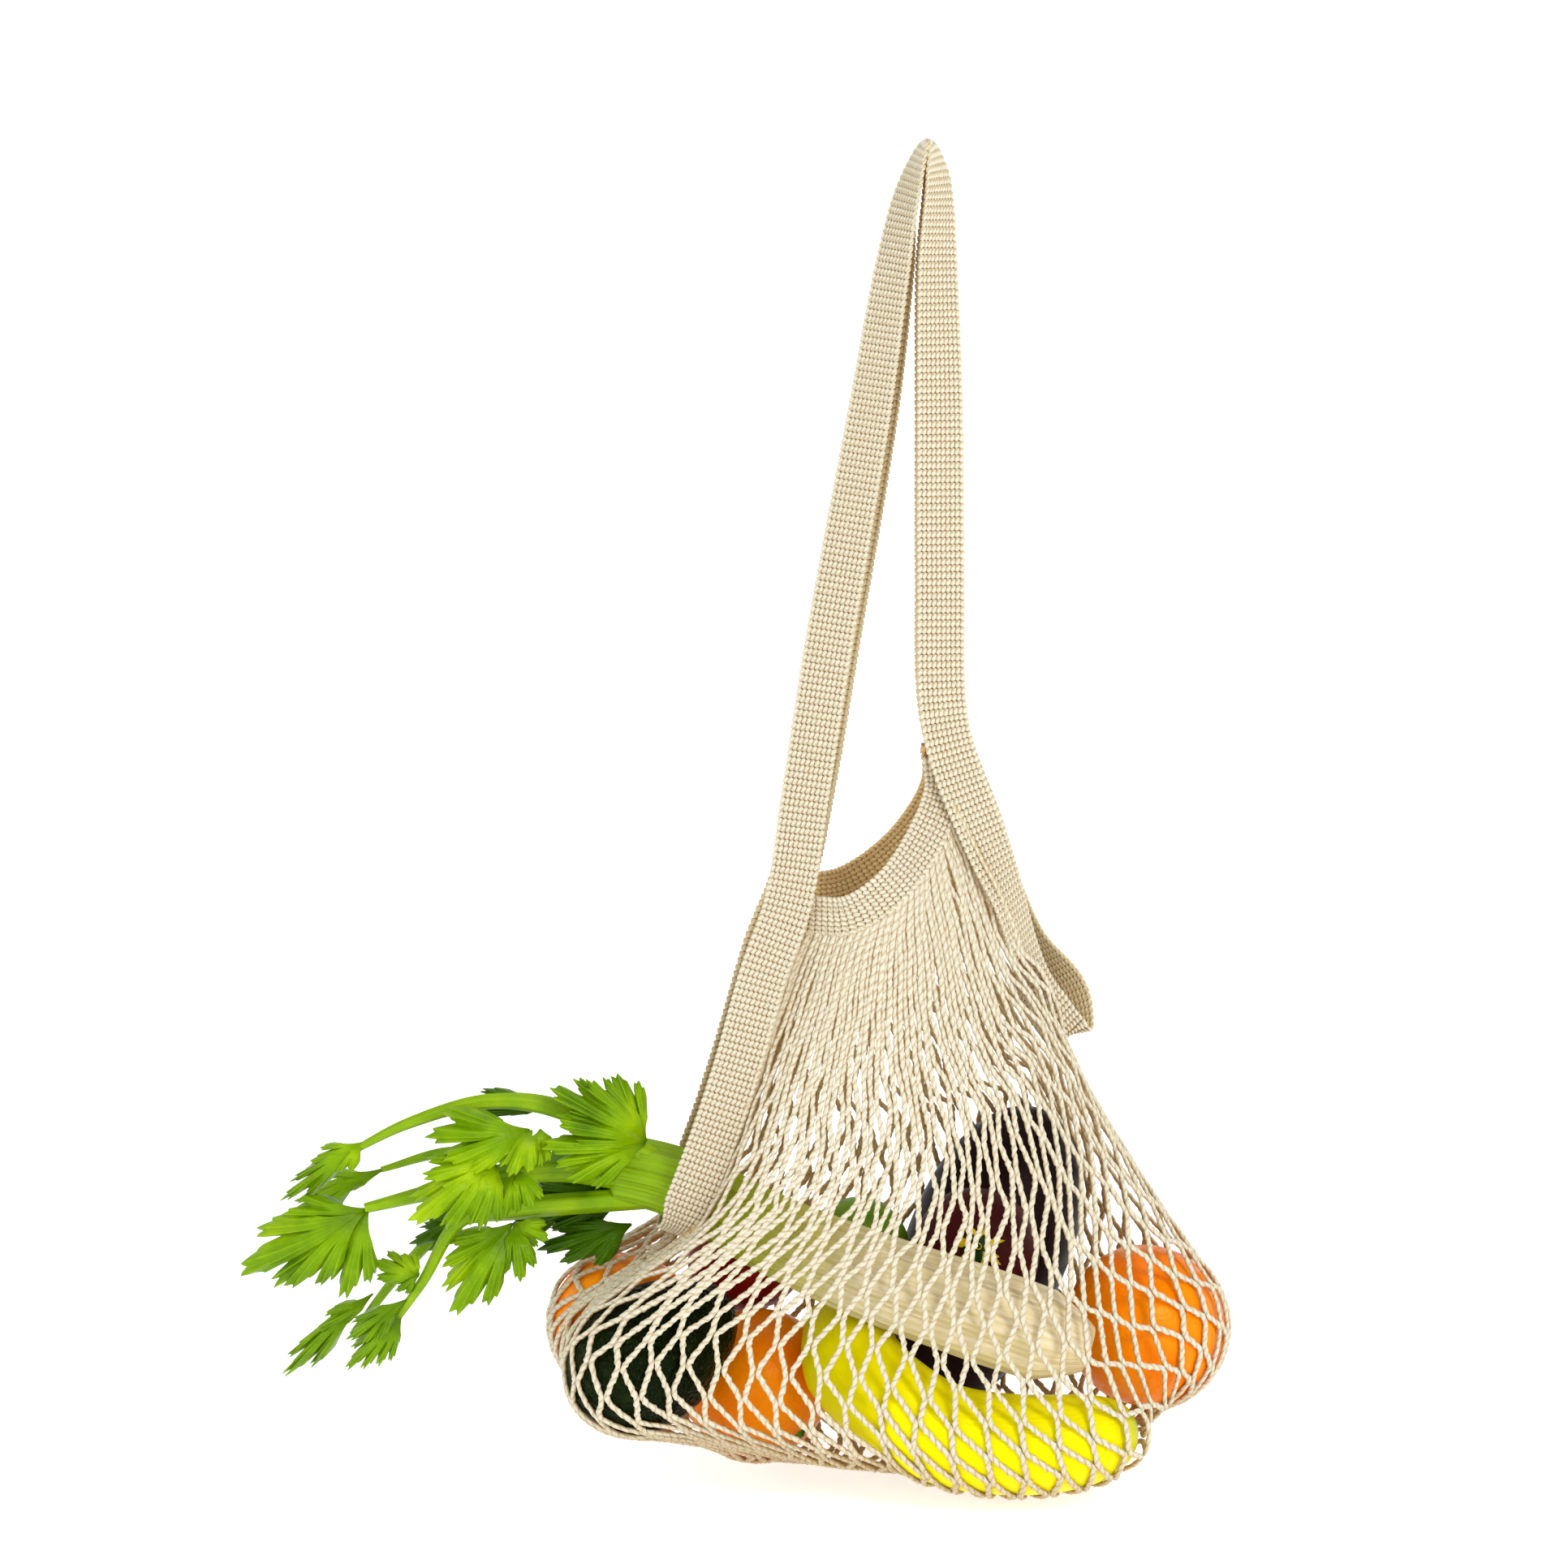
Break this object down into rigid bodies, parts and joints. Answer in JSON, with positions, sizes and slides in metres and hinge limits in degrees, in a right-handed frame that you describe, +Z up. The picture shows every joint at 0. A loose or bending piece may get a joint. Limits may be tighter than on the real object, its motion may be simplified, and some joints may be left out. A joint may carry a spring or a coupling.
{
  "type": "string shopping bag with fruit and vegetables",
  "caption": "Cream knitted string bag with a long looped strap, standing full of citrus fruit, a banana, celery and other vegetables seen through its net.",
  "frame": {"origin": "on the floor under the middle of the bounding box", "axes": "+X to the right as the bag's shown side is seen, +Y away from the viewer, +Z up along the strap"},
  "size_m": [0.4492, 0.2012, 0.602],
  "materials": {
    "citrus_skin": "pitted satin citrus skin",
    "avocado_skin": "dark pebbled skin",
    "tomato_skin": "smooth glossy skin",
    "red_fruit_skin": "dark satin skin",
    "lime_skin": "pitted green skin",
    "aubergine_skin": "dark glossy skin",
    "banana_skin": "satin yellow skin",
    "celery_green": "ribbed stalks and thin leaves",
    "net_cord": "chain-stitched cotton cord",
    "band_knit": "open knitted cotton band"
  },
  "bodies": {
    "root": {"citrus_front": "citrus_skin", "citrus_left": "citrus_skin", "citrus_right": "citrus_skin", "avocado": "avocado_skin", "tomato": "tomato_skin", "red_fruit": "red_fruit_skin", "lime": "lime_skin", "aubergine": "aubergine_skin", "banana": "banana_skin", "celery": "celery_green", "net": "net_cord", "strap_band": "band_knit", "hem_front": "band_knit", "hem_back": "band_knit"}
  },
  "joints": []
}
